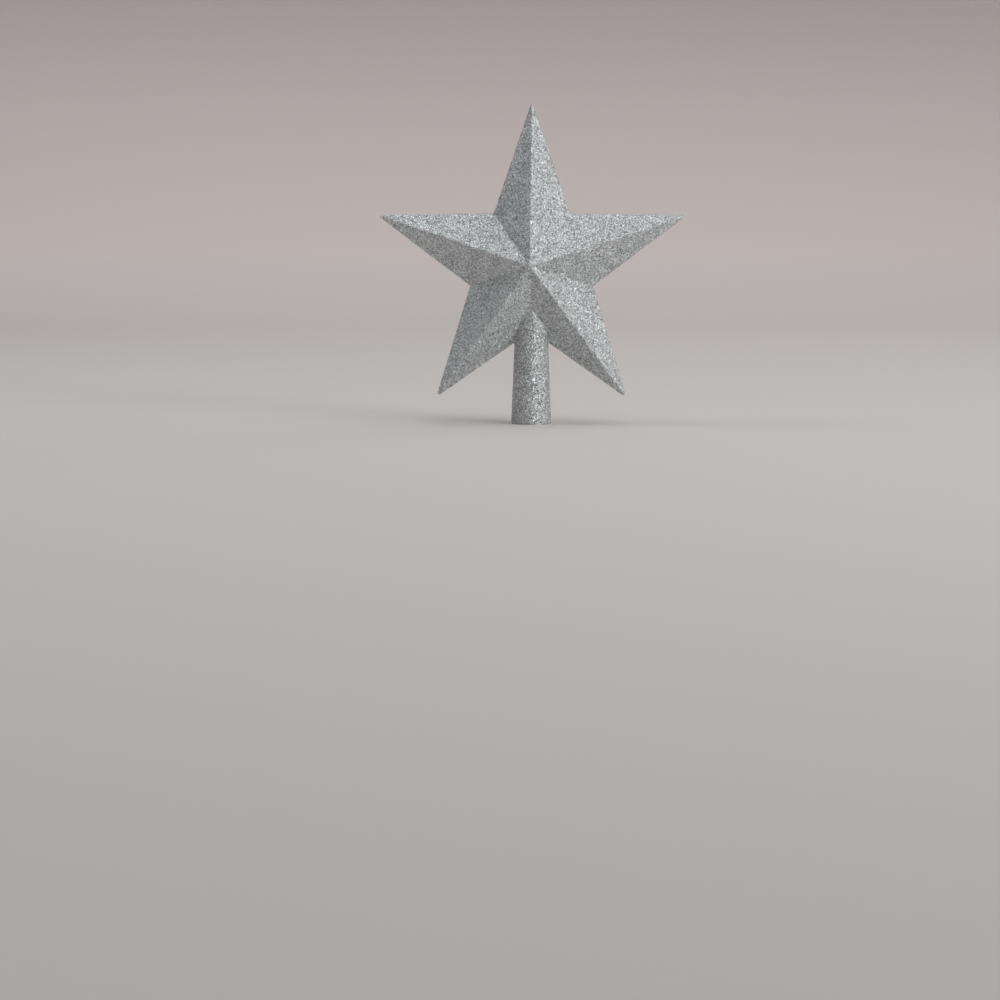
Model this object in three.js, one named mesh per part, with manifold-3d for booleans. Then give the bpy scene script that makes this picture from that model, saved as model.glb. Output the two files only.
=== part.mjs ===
// A five-pointed star for the top of a Christmas tree, in moulded plastic.
// Two hollow half shells with raised centres close face to face round a tapered socket.
// The socket hangs below the star, and the tree's leading shoot goes up inside it.
// Millimetres, +Z up, the star's front faces -Y, and the origin is the centre of the socket's mouth.

import * as THREE from "three";
import { mergeVertices } from "three/addons/utils/BufferGeometryUtils.js";
import Module from "manifold-3d";

const wasm = await Module();
wasm.setup();

// The star as seen from the front
const armCount = 5;
const tipReach = 100; // centre to the blunt end of an arm
const notchReach = 40.5; // centre to the corner between two arms
const starHeight = 100; // mouth of the socket to the star's centre
const tipRound = 1.1; // radius of the arm ends and of the ridges that run to them
const notchRound = 0.8; // radius in the corners and along the valleys

// The depth of one half
const halfDepth = 25.9; // seam to the blunt peak
const peakBlunt = 0.6; // what the rounding takes off the peak
const peakShare = 0.05; // of the outline's size, where the rounded peak begins
const peakRound = 0.5; // radius of the ridges and valleys there
const rimHeight = 1.0; // upright edge beside the seam
const rimDraft = THREE.MathUtils.degToRad(3);
const wall = 1.6;

// The bead inside the edge, with a tongue on the front half and a groove in the rear half
const tongueInset = 1.3; // outline to the tongue's outer side
const tongueWidth = 0.7;
const tongueHeight = 0.8;
const grooveGap = 0.3; // round the tongue on every side
const grooveLip = 0.6; // plastic inside the groove
const grooveFloor = 1.3; // plastic behind the groove

// The pegs that line up the halves, one in each arm
const pegReach = 58; // centre to each peg
const pegRadius = 2;
const pegLength = 4; // past the seam
const pegGap = 0.3;
const pegShoulder = 1.4; // post beyond its peg, all round
const bossWall = 1.6; // round the hole that takes a peg

// The socket
const mouthRadius = 12.4; // outside, at the mouth
const neckRadius = 9.35; // outside, under the flange
const socketWall = 1.4;
const mouthChamfer = 0.5;
const flangeStep = 1.55; // flange beyond the neck
const flangeThickness = 1.6;

// What holds the socket in the star
const socketGap = 0.3; // round the socket on every side
const collarWall = 1.4;
const flangeRoom = 0.5; // flange to the inside of the valleys
const stopThickness = 1.6;
const stopMargin = 2.1; // stop web beyond the flange, on each side

// How finely the curves are cut
const tipSteps = 6;
const notchSteps = 3;
const roundSides = 72;
const pegSides = 24;

// The star's edges run from each arm's end to the corners on both sides of it
const halfStep = Math.PI / armCount;
const cornerAlong = notchReach * Math.cos(halfStep);
const cornerAcross = notchReach * Math.sin(halfStep);
const endCentre = tipReach - tipRound;
const tipHalfAngle =
  Math.atan2(cornerAcross, endCentre - cornerAlong) -
  Math.asin(tipRound / Math.hypot(endCentre - cornerAlong, cornerAcross));
const notchHalfAngle = tipHalfAngle + halfStep;
const sharpTip = endCentre + tipRound / Math.sin(tipHalfAngle);
const edgeDistance = sharpTip * Math.sin(tipHalfAngle); // centre to the line of an edge
const armAngle = (i) => (2 * i + 1) * halfStep - Math.PI / 2; // a corner, not an arm, points down

// The faces rise evenly from the rim to the peak
const rimInset = rimHeight * Math.tan(rimDraft);
const sharpPeak = halfDepth + peakBlunt;
const rise = (sharpPeak - rimHeight) / (edgeDistance - rimInset);
const wallRise = wall * Math.hypot(1, rise); // the wall's thickness, measured along the depth
const peakInset = edgeDistance * (1 - peakShare);
const faceHeight = (inset) => rimHeight + rise * (inset - rimInset);
const faceInset = (height) => rimInset + (height - rimHeight) / rise;
const seamWall = Math.max(wall, faceInset(wallRise));

// The socket's flange sits as low as the hollow between the valleys takes it
const flangeRadius = neckRadius + flangeStep;
const flangeInset = faceInset(flangeRadius + flangeRoom + wallRise);
const flangeSeat = starHeight - notchReach * (1 - flangeInset / edgeDistance);
const socketLength = flangeSeat + flangeThickness;
const socketTaper = (mouthRadius - neckRadius) / flangeSeat;
const socketRadius = (height) => mouthRadius - socketTaper * height;
const collarTop = flangeSeat - socketGap;
const stopHeight = socketLength + socketGap;

const shellPlastic = new THREE.MeshStandardMaterial({ color: 0xaeb3b5, roughness: 0.45, metalness: 0.7 });
const socketPlastic = new THREE.MeshStandardMaterial({ color: 0xa9adb0, roughness: 0.5, metalness: 0.6 });

// A closed geometry as a solid for joining and cutting
function solidOf(geometry) {
  const bare = new THREE.BufferGeometry().setAttribute("position", geometry.getAttribute("position"));
  bare.setIndex(geometry.getIndex());
  const merged = mergeVertices(bare);
  const vertProperties = merged.getAttribute("position").array;
  const triVerts = new Uint32Array(merged.getIndex().array);
  return new wasm.Manifold(new wasm.Mesh({ numProp: 3, vertProperties, triVerts }));
}

function geometryOf(solid) {
  const mesh = solid.getMesh();
  const geometry = new THREE.BufferGeometry();
  geometry.setAttribute("position", new THREE.BufferAttribute(mesh.vertProperties, mesh.numProp));
  geometry.setIndex(new THREE.BufferAttribute(mesh.triVerts, 1));
  geometry.computeVertexNormals();
  return geometry;
}

const joined = (solids) => solids.reduce((whole, next) => whole.add(next));

const polar = (angle, reach) =>
  new THREE.Vector2(Math.cos(angle), Math.sin(angle)).multiplyScalar(reach);

// The points of an arc round a centre, from one angle to another
function arc(centre, radius, from, to, steps) {
  return Array.from({ length: steps + 1 }, (_, i) =>
    polar(from + ((to - from) * i) / steps, radius).add(centre),
  );
}

// The star's outline, drawn in from its edges by an inset, with round ends and corners
function starOutline(inset, endRound = tipRound, cornerRound = notchRound) {
  const share = 1 - inset / edgeDistance;
  const endReach = sharpTip * share - endRound / Math.sin(tipHalfAngle);
  const cornerReach = notchReach * share + cornerRound / Math.sin(notchHalfAngle);
  const endSweep = Math.PI / 2 - tipHalfAngle;
  const cornerSweep = Math.PI / 2 - notchHalfAngle;
  const points = [];
  for (let i = 0; i < armCount; i++) {
    const arm = armAngle(i);
    const corner = arm + halfStep;
    const inward = corner + Math.PI;
    points.push(
      ...arc(polar(arm, endReach), endRound, arm - endSweep, arm + endSweep, tipSteps),
      ...arc(polar(corner, cornerReach), cornerRound, inward + cornerSweep, inward - cornerSweep, notchSteps),
    );
  }
  return points;
}

const ring = (outline, depth) => outline.map((p) => new THREE.Vector3(p.x, p.y, depth));
const peakRing = (depth) => ring(starOutline(peakInset, peakRound, peakRound), depth);
const onAxis = (depth) => new THREE.Vector3(0, 0, depth);

// A skin over rings of equal count: closed at a point at each end, or on itself where there are no ends
function loft(rings, ends) {
  const count = rings[0].length;
  const bands = ends ? rings.length - 1 : rings.length;
  const points = rings.flat();
  const faces = [];
  for (let band = 0; band < bands; band++) {
    const low = band * count;
    const high = ((band + 1) % rings.length) * count;
    for (let i = 0; i < count; i++) {
      const next = (i + 1) % count;
      faces.push(low + i, low + next, high + next, low + i, high + next, high + i);
    }
  }
  if (ends) {
    const last = (rings.length - 1) * count;
    const first = points.push(ends[0]) - 1;
    const final = points.push(ends[1]) - 1;
    for (let i = 0; i < count; i++) {
      const next = (i + 1) % count;
      faces.push(first, next, i, last + i, last + next, final);
    }
  }
  const geometry = new THREE.BufferGeometry().setFromPoints(points);
  geometry.setIndex(faces);
  return solidOf(geometry);
}

// A half star filled to the seam, drawn in by an inset
function fullHalf(inset) {
  const rings = [
    ring(starOutline(inset), 0),
    ring(starOutline(inset + rimInset), rimHeight),
    peakRing(faceHeight(peakInset - inset)),
  ];
  return loft(rings, [onAxis(0), onAxis(halfDepth - inset * rise)]);
}

// The same half as a shell with nothing inside
function hollowHalf() {
  const rings = [
    peakRing(faceHeight(peakInset) - wallRise),
    ring(starOutline(seamWall), 0),
    ring(starOutline(0), 0),
    ring(starOutline(rimInset), rimHeight),
    peakRing(faceHeight(peakInset)),
  ];
  return loft(rings, [onAxis(halfDepth - wallRise), onAxis(halfDepth)]);
}

// A band that follows the outline, from one inset to another and from one depth to another
function outlineBand(outer, inner, low, high) {
  const outside = starOutline(outer);
  const inside = starOutline(inner);
  return loft([ring(outside, low), ring(outside, high), ring(inside, high), ring(inside, low)]);
}

// A round bar along the depth in each arm
function armBars(radius, low, high) {
  return Array.from({ length: armCount }, (_, i) => {
    const place = polar(armAngle(i), pegReach);
    const bar = new THREE.CylinderGeometry(radius, radius, high - low, pegSides);
    bar.rotateX(Math.PI / 2);
    bar.translate(place.x, place.y, (low + high) / 2);
    return solidOf(bar);
  });
}

// A cone round the socket, wider than it by a margin, between two heights above its mouth
function socketCone(margin, low, high) {
  const cone = new THREE.CylinderGeometry(
    socketRadius(high) + margin,
    socketRadius(low) + margin,
    high - low,
    roundSides,
  );
  cone.translate(0, (low + high) / 2 - starHeight, 0);
  return solidOf(cone);
}

const collarBore = () => socketCone(socketGap, -socketGap, flangeSeat);

// The web above the flange, which takes the push of the tree
function stopWeb() {
  const web = new THREE.BoxGeometry(2 * (flangeRadius + stopMargin), stopThickness, sharpPeak);
  web.translate(0, stopHeight + stopThickness / 2 - starHeight, sharpPeak / 2);
  return solidOf(web);
}

// What both halves share: the wall, and inside it the bead, the posts, the socket's collar and its stop
function shellBody(postRadius) {
  const bead = outlineBand(
    0,
    tongueInset + tongueWidth + grooveGap + grooveLip,
    0,
    tongueHeight + grooveGap + grooveFloor,
  );
  const collar = socketCone(socketGap + collarWall, 0, collarTop);
  const sunkInWall = wall / 4;
  const inside = joined([bead, collar, stopWeb(), ...armBars(postRadius, 0, sharpPeak)])
    .intersect(fullHalf(sunkInWall));
  return hollowHalf().add(inside).subtract(collarBore());
}

function frontShell() {
  const holeRadius = pegRadius + pegGap;
  const tongue = outlineBand(tongueInset, tongueInset + tongueWidth, -tongueHeight, tongueHeight);
  const holes = armBars(holeRadius, -pegLength, pegLength + pegGap);
  return shellBody(holeRadius + bossWall)
    .add(tongue)
    .subtract(joined([collarBore(), ...holes]));
}

function rearShell() {
  const groove = outlineBand(
    tongueInset - grooveGap,
    tongueInset + tongueWidth + grooveGap,
    -tongueHeight,
    tongueHeight + grooveGap,
  );
  const pegs = joined(armBars(pegRadius, -pegLength, pegLength));
  return shellBody(pegRadius + pegShoulder).subtract(groove).add(pegs);
}

// The tapered tube, open below and closed above by its flanged end
function socket() {
  const boreRadius = (height) => socketRadius(height) - socketWall;
  const profile = [
    [0, flangeSeat],
    [boreRadius(flangeSeat), flangeSeat],
    [boreRadius(mouthChamfer), mouthChamfer],
    [boreRadius(0) + mouthChamfer, 0],
    [mouthRadius, 0],
    [neckRadius, flangeSeat],
    [flangeRadius, flangeSeat],
    [flangeRadius, socketLength],
    [0, socketLength],
  ];
  const points = profile.map(([radius, height]) => new THREE.Vector2(radius, height));
  return solidOf(new THREE.LatheGeometry(points, roundSides));
}

function part(name, solid, material) {
  const mesh = new THREE.Mesh(geometryOf(solid), material);
  mesh.name = name;
  return mesh;
}

// Each half is modelled with its peak along +Z, and then turned to face the front or the back
const front = part("front_shell", frontShell(), shellPlastic);
front.rotation.x = Math.PI / 2;
const rear = part("rear_shell", rearShell(), shellPlastic);
rear.rotation.x = Math.PI / 2;
const rearHalf = new THREE.Group();
rearHalf.rotation.z = Math.PI;
rearHalf.add(rear);
const star = new THREE.Group();
star.position.z = starHeight;
star.add(front, rearHalf);

const tube = part("socket_tube", socket(), socketPlastic);
tube.rotation.x = Math.PI / 2;

const topper = new THREE.Group();
topper.add(star, tube);

export default topper;
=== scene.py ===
"""A silver glitter star for the top of a Christmas tree, dressed over its moulded shells and socket.

One coat of glitter lies over the whole outside. It is cut from a single skin of small facets, so that it
runs on over the crease between star and socket, and loose flakes stand on it. Metres throughout.
"""

import math

import bmesh
import bpy
from mathutils import Euler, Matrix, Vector


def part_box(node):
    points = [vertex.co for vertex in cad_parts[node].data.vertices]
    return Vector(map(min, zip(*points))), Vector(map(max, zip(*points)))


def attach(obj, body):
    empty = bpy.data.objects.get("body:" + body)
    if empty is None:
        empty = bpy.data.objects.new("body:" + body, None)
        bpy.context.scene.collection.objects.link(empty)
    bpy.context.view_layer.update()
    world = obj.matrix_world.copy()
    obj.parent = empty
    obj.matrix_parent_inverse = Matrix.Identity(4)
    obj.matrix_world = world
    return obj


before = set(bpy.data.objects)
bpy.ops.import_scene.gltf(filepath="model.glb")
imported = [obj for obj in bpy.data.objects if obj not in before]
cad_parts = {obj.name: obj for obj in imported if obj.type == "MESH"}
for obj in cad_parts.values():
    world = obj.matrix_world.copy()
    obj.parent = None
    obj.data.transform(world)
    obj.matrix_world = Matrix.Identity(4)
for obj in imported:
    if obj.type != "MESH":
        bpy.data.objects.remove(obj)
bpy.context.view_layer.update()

MM = 0.001

# The star, as the moulding has it
star_low, star_high = (Vector(corner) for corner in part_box("front_shell"))
tube_high = Vector(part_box("socket_tube")[1])
centre = Vector((0, 0, 100 * MM))
tip_reach = star_high.z - centre.z
tip_round = 1.1 * MM
notch_reach = 40.5 * MM
rim_height = 1.0 * MM
peak = 0.6 * MM - star_low.y  # sharp, before its rounding
mouth_radius = tube_high.x
neck_radius = 9.35 * MM  # of the socket, at the top of the stretch that shows
neck_height = 79.3 * MM
below_mouth = 5 * MM  # how far the tools for the socket reach past its lower end

# The coat
coat = 0.25 * MM  # over the plastic
sunk = 0.35 * MM  # into it, where nothing shows
facet = 0.52 * MM
facet_shift = 0.15 * MM
seam_gap = 0.2 * MM
crease = 0.5 * MM  # how far the socket's coat climbs on to the star
ridge_band = 1.7 * MM  # on each side of a ridge, where the coat is rounded as the moulding is
ridge_starts = (3 * MM, 30 * MM)  # from the centre, one rounding from each, so the arms get two
ridge_stop = 4 * MM  # short of the tips
seam_stop = 2 * MM  # and of the seam
bare_mouth = 0.8 * MM  # plain plastic left at the socket's lower end
flake_margin = 0.7 * MM  # above that, where no loose flake stands
flake_radius = 0.30 * MM
flake_thickness = 0.06 * MM
flakes_per_mm2 = 0.45
flake_lean = math.radians(18)

# The star's edges run from each arm's end to the notches on both sides of it
half_step = math.radians(36)
end_centre = tip_reach - tip_round
notch_along, notch_across = notch_reach * math.cos(half_step), notch_reach * math.sin(half_step)
tip_angle = math.atan2(notch_across, end_centre - notch_along) - math.asin(
    tip_round / math.hypot(end_centre - notch_along, notch_across)
)
sharp_tip = end_centre + tip_round / math.sin(tip_angle)
edge_distance = sharp_tip * math.sin(tip_angle)
slope = (peak - rim_height) / edge_distance


# Modelling helpers

def deselect():
    bpy.ops.object.select_all(action="DESELECT")


def take(obj):
    """Makes obj the one selected and active object."""
    deselect()
    obj.select_set(True)
    bpy.context.view_layer.objects.active = obj
    return obj


def start(name):
    """Names the primitive just added and puts its place into its mesh."""
    obj = bpy.context.active_object
    obj.name = obj.data.name = name
    bpy.ops.object.transform_apply(location=True, rotation=True, scale=True)
    return obj


def edit(mode):
    bpy.ops.object.mode_set(mode="EDIT")
    bpy.ops.mesh.select_mode(type=mode)
    bpy.ops.mesh.select_all(action="DESELECT")


def pick(obj, kind, test):
    """Selects, in edit mode, only what passes the test among the mesh's verts, edges or faces."""
    bpy.ops.mesh.select_all(action="DESELECT")
    mesh = bmesh.from_edit_mesh(obj.data)
    for item in getattr(mesh, kind):
        if test(item):
            item.select_set(True)
    mesh.select_flush_mode()
    bmesh.update_edit_mesh(obj.data)


def modify(obj, kind, **settings):
    """Adds a modifier and applies it."""
    take(obj)
    modifier = obj.modifiers.new(kind.title(), kind)
    for name, value in settings.items():
        setattr(modifier, name, value)
    bpy.ops.object.modifier_apply(modifier=modifier.name)


def copied(obj, name):
    copy = obj.copy()
    copy.data = obj.data.copy()
    copy.name = copy.data.name = name
    bpy.context.collection.objects.link(copy)
    return copy


def cut(obj, operation, tool):
    modify(obj, "BOOLEAN", operation=operation, object=tool, solver="MANIFOLD")


# The forms that the coat is cut from

def star_form(name, grow):
    """The star as one solid whose faces lie outside the moulding's by grow."""
    share = 1 + grow / edge_distance
    rim = rim_height + grow / 2
    top = peak + grow * math.hypot(1, slope)
    bpy.ops.mesh.primitive_circle_add(
        vertices=10, radius=sharp_tip * share, fill_type="NGON",
        location=centre - Vector((0, rim, 0)), rotation=(math.pi / 2, 0, 0),
    )
    star = start(name)
    edit("VERT")

    def in_notch(vertex):
        out = vertex.co - centre
        turn = math.atan2(out.x, out.z) / half_step
        return round(turn) % 2 == 1

    pick(star, "verts", in_notch)
    inwards = notch_reach / sharp_tip
    bpy.ops.transform.resize(value=(inwards, 1, inwards), center_override=centre)
    bpy.ops.mesh.select_all(action="SELECT")
    bpy.ops.mesh.extrude_region_move(TRANSFORM_OT_translate={"value": (0, 2 * rim, 0)})
    bpy.ops.mesh.select_all(action="SELECT")
    bpy.ops.mesh.normals_make_consistent(inside=False)

    bpy.ops.mesh.select_mode(type="FACE")
    pick(star, "faces", lambda face: abs(face.normal.y) > 0.9)
    bpy.ops.mesh.poke(offset=top - rim, use_relative_offset=False, center_mode="MEDIAN")

    bpy.ops.mesh.select_mode(type="EDGE")

    def at_tip(edge):
        across = abs(edge.verts[0].co.y - edge.verts[1].co.y)
        middle = (edge.verts[0].co + edge.verts[1].co) / 2
        return across > 1.9 * rim and (middle - centre).length > 0.9 * sharp_tip and abs(middle.y) < rim / 2

    pick(star, "edges", at_tip)
    bpy.ops.mesh.bevel(offset=(tip_round + grow) / math.tan(tip_angle), segments=4, affect="EDGES")
    bpy.ops.object.mode_set(mode="OBJECT")
    return star


def socket_form(name, grow, low, high):
    """The socket's cone between two heights, with its side outside the moulding's by grow."""
    taper = (mouth_radius - neck_radius) / neck_height
    bpy.ops.mesh.primitive_cone_add(
        vertices=96, radius1=mouth_radius - taper * low + grow, radius2=mouth_radius - taper * high + grow,
        depth=high - low, location=(0, 0, (low + high) / 2),
    )
    return start(name)


def half_space(name, side):
    """A block that holds all of the star on one side of its seam."""
    reach = 150 * MM
    bpy.ops.mesh.primitive_cube_add(size=1, location=(0, side * (reach + seam_gap) / 2, centre.z))
    block = bpy.context.active_object
    block.scale = (2 * reach, reach, 2 * reach)
    return start(name)


def on_ridge(place, start_reach):
    """Whether a place is beside one of the ridges, from start_reach outwards to just before the tip."""
    out = place - centre
    turn = 2 * half_step * round(math.atan2(out.x, out.z) / (2 * half_step))
    along = out.x * math.sin(turn) + out.z * math.cos(turn)
    across = out.x * math.cos(turn) - out.z * math.sin(turn)
    on_its_length = start_reach < along < tip_reach - ridge_stop
    return on_its_length and abs(across) < ridge_band and abs(out.y) > seam_stop


def glitter_skin():
    """A solid of the whole outside, covered in small facets that all lean a little their own way."""
    skin = star_form("skin", coat)
    tube = socket_form("skin_tube", coat, bare_mouth, neck_height)
    take(skin)
    tube.select_set(True)
    bpy.ops.object.join()
    modify(skin, "REMESH", mode="VOXEL", voxel_size=facet, adaptivity=0)
    modify(skin, "SMOOTH", factor=0.5, iterations=2)
    edit("VERT")
    for start_reach in ridge_starts:
        pick(skin, "verts", lambda vertex: on_ridge(vertex.co, start_reach))
        bpy.ops.mesh.vertices_smooth(factor=0.5, repeat=3)
    bpy.ops.mesh.select_all(action="SELECT")
    bpy.ops.transform.vertex_random(offset=facet_shift, uniform=1.0, normal=0.0, seed=11)
    bpy.ops.mesh.quads_convert_to_tris(quad_method="BEAUTY")
    bpy.ops.object.mode_set(mode="OBJECT")
    return skin


def coats():
    """The three stretches of the coat, and the skin that they are cut from."""
    skin = glitter_skin()
    hollow = copied(skin, "hollow_skin")
    star_core = star_form("star_core", -sunk)
    tube_core = socket_form("tube_core", -sunk, -below_mouth, neck_height)
    for core in (star_core, tube_core):
        cut(hollow, "DIFFERENCE", core)
    sleeve = socket_form("sleeve", coat + crease, -below_mouth, neck_height)
    tube_coat = copied(hollow, "socket_glitter")
    cut(tube_coat, "INTERSECT", sleeve)
    cut(hollow, "DIFFERENCE", sleeve)
    found = [tube_coat]
    tools = [star_core, tube_core, sleeve, hollow]
    for name, side in (("front_glitter", -1), ("rear_glitter", 1)):
        block = half_space(name + "_side", side)
        half = copied(hollow, name)
        cut(half, "INTERSECT", block)
        found.append(half)
        tools.append(block)
    for tool in tools:
        bpy.data.objects.remove(tool)
    return skin, found


# Shader helpers

class Value:
    """An output of a shader node that Python expressions can work with."""

    def __init__(self, look, socket):
        self.look, self.socket = look, socket

    def maths(self, operation, *terms):
        return self.look.node("ShaderNodeMath", {"operation": operation}, terms)

    def __add__(self, other):
        return self.maths("ADD", self, other)

    def __sub__(self, other):
        return self.maths("SUBTRACT", self, other)

    def __rsub__(self, other):
        return self.maths("SUBTRACT", other, self)

    def __mul__(self, other):
        return self.maths("MULTIPLY", self, other)

    __radd__ = __add__
    __rmul__ = __mul__

    def out(self, key):
        """Another output of the same node, by its name or number."""
        return Value(self.look, self.socket.node.outputs[key])


class Look:
    """A material, built node by node."""

    def __init__(self, name, **shader):
        self.material = bpy.data.materials.new(name)
        self.material.use_nodes = True
        self.tree = self.material.node_tree
        self.shader = self.tree.nodes["Principled BSDF"]
        for socket, value in shader.items():
            self.feed(self.shader, socket.replace("_", " ").title(), value)

    def feed(self, node, socket, value):
        if isinstance(value, Value):
            self.tree.links.new(value.socket, node.inputs[socket])
        else:
            node.inputs[socket].default_value = value

    def node(self, kind, settings=(), inputs=()):
        """Adds a node with its settings, then the values or links of its sockets, by name or in order."""
        node = self.tree.nodes.new(kind)
        for name, value in dict(settings).items():
            if name == "stops":
                for place, colour in value[2:]:
                    node.color_ramp.elements.new(place)
                for stop, (place, colour) in zip(node.color_ramp.elements, value):
                    stop.position, stop.color = place, colour
            else:
                setattr(node, name, value)
        pairs = inputs.items() if isinstance(inputs, dict) else enumerate(inputs)
        for socket, value in pairs:
            self.feed(node, socket, value)
        return Value(self, node.outputs[0])

    def vector(self, operation, *terms):
        return self.node("ShaderNodeVectorMath", {"operation": operation}, terms)

    def place(self):
        return self.node("ShaderNodeTexCoord").out("Object")

    def cells(self, size):
        """Random cells about as wide as size, one colour each."""
        return self.node("ShaderNodeTexVoronoi", {}, {"Vector": self.place(), "Scale": 1 / size}).out("Color")

    def noise(self, size, detail=2.0):
        return self.node(
            "ShaderNodeTexNoise", {}, {"Vector": self.place(), "Scale": 1 / size, "Detail": detail}
        )

    def mix(self, share, first, second):
        return self.node(
            "ShaderNodeMix", {"data_type": "RGBA"}, {"Factor": share, 6: first, 7: second}
        ).out(2)


def colour(red, green, blue):
    return (red, green, blue, 1.0)


def leaning(look, cell, most):
    """The surface's normal, leaning its own way in each cell."""
    lean = look.vector("SCALE", look.vector("SUBTRACT", cell, (0.5, 0.5, 0.5)))
    look.feed(lean.socket.node, "Scale", 2 * most)
    normal = look.node("ShaderNodeNewGeometry").out("Normal")
    return look.vector("NORMALIZE", look.vector("ADD", normal, lean))


flake_cell = 0.55 * MM
fine_cell = 0.3 * MM
cloud_size = 8 * MM


def glitter(name, dark, light, most):
    """Metallised flakes: each leans its own way, by most in each direction, and some are brighter."""
    look = Look(name, metallic=0.85)
    flakes = look.cells(flake_cell)
    draw = look.node("ShaderNodeTexWhiteNoise", {"noise_dimensions": "3D"}, {"Vector": flakes})
    fine = look.node("ShaderNodeSeparateColor", {}, (look.cells(fine_cell),))
    cloud = look.noise(cloud_size)
    tone = draw * 0.75 + fine * 0.35 + cloud * 0.25 - 0.15
    look.feed(look.shader, "Base Color", look.mix(tone, dark, light))
    look.feed(look.shader, "Roughness", 0.56 - fine.out("Green") * 0.24)
    look.feed(look.shader, "Normal", leaning(look, flakes, most))
    return look.material


def moulded_plastic(name, shade):
    look = Look(name, metallic=0.5)
    cloud = look.noise(3 * MM, 4.0)
    look.feed(look.shader, "Base Color", look.mix(cloud, shade, colour(0.5, 0.51, 0.52)))
    look.feed(look.shader, "Roughness", 0.35 + cloud * 0.2)
    return look.material


def studio_paper(name, stops):
    """Paper whose colour changes with its height, given as stops of height and colour; the stops paint shade
    and light into it, so it is not evenly coloured.
    """
    look = Look(name, roughness=0.9)
    height = look.node("ShaderNodeSeparateXYZ", {}, (look.place(),)).out("Z")
    look.feed(look.shader, "Base Color", look.node("ShaderNodeValToRGB", {"stops": stops}, (height,)))
    return look.material


def dress(obj, material):
    obj.data.materials.clear()
    obj.data.materials.append(material)
    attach(obj, "root")


# The coat and its loose flakes

def one_flake():
    bpy.ops.mesh.primitive_cylinder_add(vertices=6, radius=flake_radius, depth=flake_thickness)
    flake = start("one_flake")
    edit("VERT")
    pick(flake, "verts", lambda vertex: vertex.co.z > 0)
    bpy.ops.transform.resize(value=(0.9, 0.9, 1))
    bpy.ops.object.mode_set(mode="OBJECT")
    return flake


def scattering(flake, seed):
    """Geometry nodes that stand copies of the flake on a skin, each leaning its own way."""
    group = bpy.data.node_groups.new("scatter_flakes", "GeometryNodeTree")
    group.interface.new_socket("Geometry", in_out="INPUT", socket_type="NodeSocketGeometry")
    group.interface.new_socket("Geometry", in_out="OUTPUT", socket_type="NodeSocketGeometry")

    def node(kind, **inputs):
        made = group.nodes.new(kind)
        for name, value in inputs.items():
            socket = made.inputs[name.replace("_", " ")]
            if isinstance(value, bpy.types.NodeSocket):
                group.links.new(value, socket)
            else:
                socket.default_value = value
        return made

    def random(kind, low, high, offset):
        made = node("FunctionNodeRandomValue")
        made.data_type = kind
        places = (0, 1) if kind == "FLOAT_VECTOR" else (2, 3)
        made.inputs[places[0]].default_value = low
        made.inputs[places[1]].default_value = high
        made.inputs["Seed"].default_value = seed + offset
        return made.outputs[0 if kind == "FLOAT_VECTOR" else 1]

    entry = node("NodeGroupInput")
    points = node(
        "GeometryNodeDistributePointsOnFaces", Mesh=entry.outputs[0],
        Density=flakes_per_mm2 / MM**2, Seed=seed,
    )
    shape = node("GeometryNodeObjectInfo")
    shape.inputs["Object"].default_value = flake
    stood = node(
        "GeometryNodeInstanceOnPoints", Points=points.outputs["Points"], Instance=shape.outputs["Geometry"],
        Rotation=points.outputs["Rotation"], Scale=random("FLOAT", 0.7, 1.25, 1),
    )
    turned = node(
        "GeometryNodeRotateInstances", Instances=stood.outputs[0],
        Rotation=random(
            "FLOAT_VECTOR", (-flake_lean, -flake_lean, 0), (flake_lean, flake_lean, 2 * math.pi), 2
        ),
    )
    real = node("GeometryNodeRealizeInstances", Geometry=turned.outputs[0])
    leave = node("NodeGroupOutput")
    group.links.new(real.outputs[0], leave.inputs[0])
    return group


def loose_flakes(skin, name, side, flake, seed):
    """Single flakes on one side of the seam."""
    half = copied(skin, name)
    take(half)
    edit("FACE")

    def without_flakes(face):
        place = face.calc_center_median()
        return place.y * side < 0 or place.z < bare_mouth + flake_margin

    pick(half, "faces", without_flakes)
    bpy.ops.mesh.delete(type="FACE")
    bpy.ops.object.mode_set(mode="OBJECT")
    modify(half, "NODES", node_group=scattering(flake, seed))
    return half


# The studio

# Painted shade: the paper is even on the floor, painted a little lighter in the bend just above it, then
# painted darker and darker up the wall, standing in for the backdrop's light falling off with height.
PAPER_PAINTED_SHADE = [
    (0.0, colour(0.70, 0.672, 0.655)), (0.10, colour(0.76, 0.696, 0.68)),
    (0.35, colour(0.64, 0.572, 0.563)), (0.60, colour(0.48, 0.418, 0.414)),
]


def sweep():
    """A pale round floor whose rim curves up into a wall."""
    flat, rim, bend, wall, steps = 1.9, 0.3, 1.6, 1.0, 20
    bpy.ops.mesh.primitive_circle_add(vertices=128, radius=flat, fill_type="NGON", location=(0, 0, 0))
    paper = start("paper_sweep")
    edit("EDGE")
    bpy.ops.mesh.select_all(action="SELECT")
    bpy.ops.mesh.inset(thickness=rim)
    pick(paper, "edges", lambda edge: edge.is_boundary)
    profile = []
    for step in range(1, steps + 1):
        turn = math.pi / 2 * step / steps
        profile.append((flat + bend * math.sin(turn), bend * (1 - math.cos(turn))))
    profile.append((flat + bend, bend + wall))
    radius, height = flat, 0
    for next_radius, next_height in profile:
        bpy.ops.mesh.extrude_region_move(TRANSFORM_OT_translate={"value": (0, 0, next_height - height)})
        grown = next_radius / radius
        bpy.ops.transform.resize(value=(grown, grown, 1), center_override=(0, 0, next_height))
        radius, height = next_radius, next_height
    bpy.ops.object.mode_set(mode="OBJECT")
    bpy.ops.object.shade_smooth()
    paper.data.materials.append(studio_paper("studio_paper", PAPER_PAINTED_SHADE))


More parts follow.
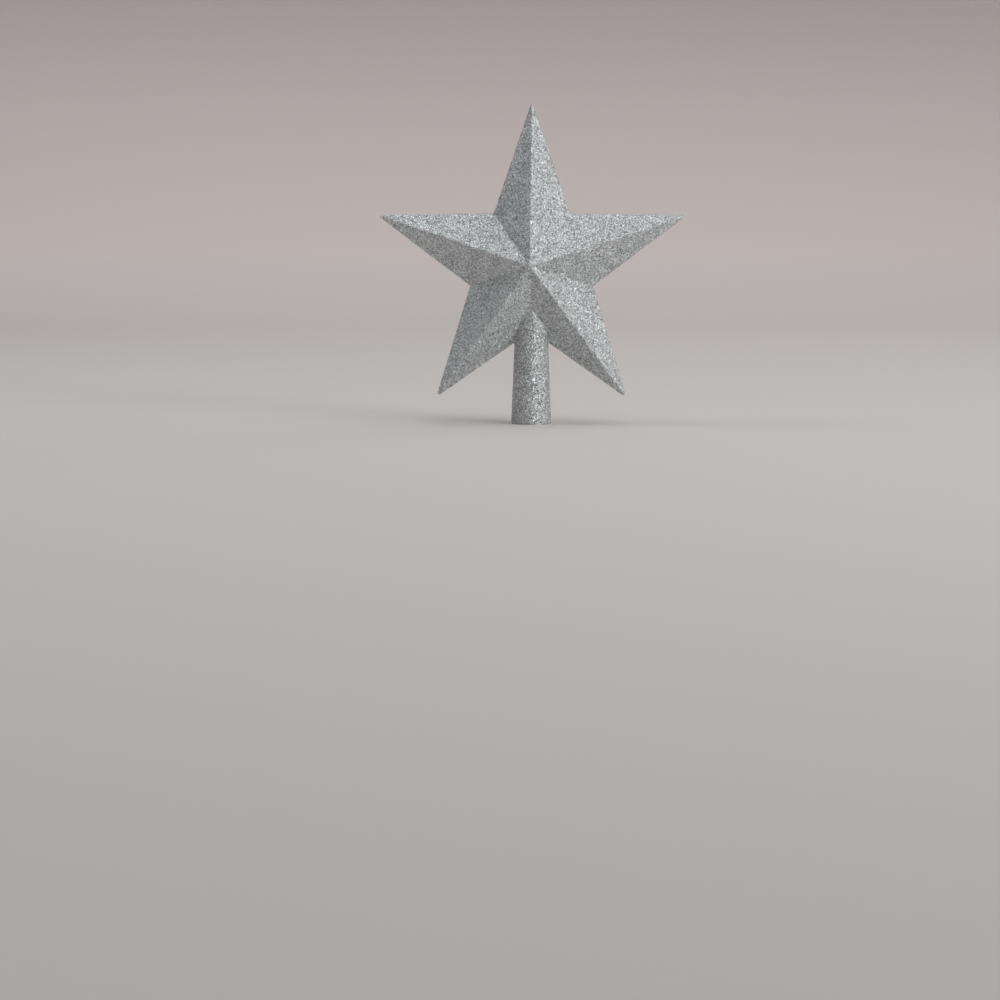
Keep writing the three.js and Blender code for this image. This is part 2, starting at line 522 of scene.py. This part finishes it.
def lamp(name, azimuth, elevation, distance, size, power, aim=centre, spread=180, shade=(1, 1, 1)):
    """A soft box; azimuth 0 is in front of the star and 90 on its right."""
    data = bpy.data.lights.new(name, "AREA")
    data.shape = "RECTANGLE"
    data.size, data.size_y = size
    data.energy = power
    data.spread = math.radians(spread)
    data.color = shade
    obj = bpy.data.objects.new(name, data)
    bpy.context.collection.objects.link(obj)
    turn, rise = math.radians(azimuth), math.radians(elevation)
    away = Vector((math.sin(turn) * math.cos(rise), -math.cos(turn) * math.cos(rise), math.sin(rise)))
    obj.location = centre + away * distance
    obj.rotation_euler = (aim - obj.location).to_track_quat("-Z", "Y").to_euler()
    obj.visible_camera = False


def studio():
    sweep()
    lamp("key", 50, 10, 2.6, (1.0, 1.0), 4.25, spread=70)
    lamp("right_rear", 130, 20, 2.6, (1.4, 1.3), 1.8, spread=100)
    lamp("overhead", 50, 75, 2.4, (2.9, 2.9), 40.5)
    lamp("left_fill", 270, 35, 2.4, (1.2, 1.2), 2.3, spread=100, shade=(0.90, 1.005, 1.05))
    lamp("backdrop", 180, 50, 2.9, (3.0, 0.8), 22.5, aim=Vector((0, 3.1, 0.7)))
    world = bpy.data.worlds.new("studio_air")
    bpy.context.scene.world = world
    world.use_nodes = True
    air = world.node_tree.nodes["Background"]
    air.inputs["Color"].default_value = colour(1.0, 0.98, 0.97)
    air.inputs["Strength"].default_value = 0.04
    bpy.context.scene.view_settings.view_transform = "Standard"


def camera():
    """The photograph's view: almost level with the star, from a long way off."""
    data = bpy.data.cameras.new("camera")
    data.sensor_width = 36
    data.lens = 90
    data.clip_end = 50
    obj = bpy.data.objects.new("camera", data)
    bpy.context.collection.objects.link(obj)
    obj.location = (55.5 * MM, -1588.9 * MM, 113.9 * MM)
    obj.rotation_euler = Euler([math.radians(a) for a in (84.148, -0.076, 2.722)], "XYZ")
    bpy.context.scene.camera = obj


deselect()
camera()
studio()

cell_lean = 0.23
star_finish = glitter("star_glitter", colour(0.126, 0.132, 0.136), colour(0.95, 0.99, 1.0), cell_lean)
socket_finish = glitter("socket_glitter", colour(0.120, 0.126, 0.130), colour(0.91, 0.95, 0.96), cell_lean)
plastic = moulded_plastic("silver_plastic", colour(0.38, 0.39, 0.40))
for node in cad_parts.values():
    node.data.materials.clear()
    node.data.materials.append(plastic)

skin, pieces = coats()
for piece in pieces:
    if piece.name == "socket_glitter":
        dress(piece, socket_finish)
    else:
        dress(piece, star_finish)

flake = one_flake()
for name, side, seed in (("front_flakes", -1, 3), ("rear_flakes", 1, 4)):
    dress(loose_flakes(skin, name, side, flake, seed), star_finish)
for spare in (skin, flake):
    bpy.data.objects.remove(spare)
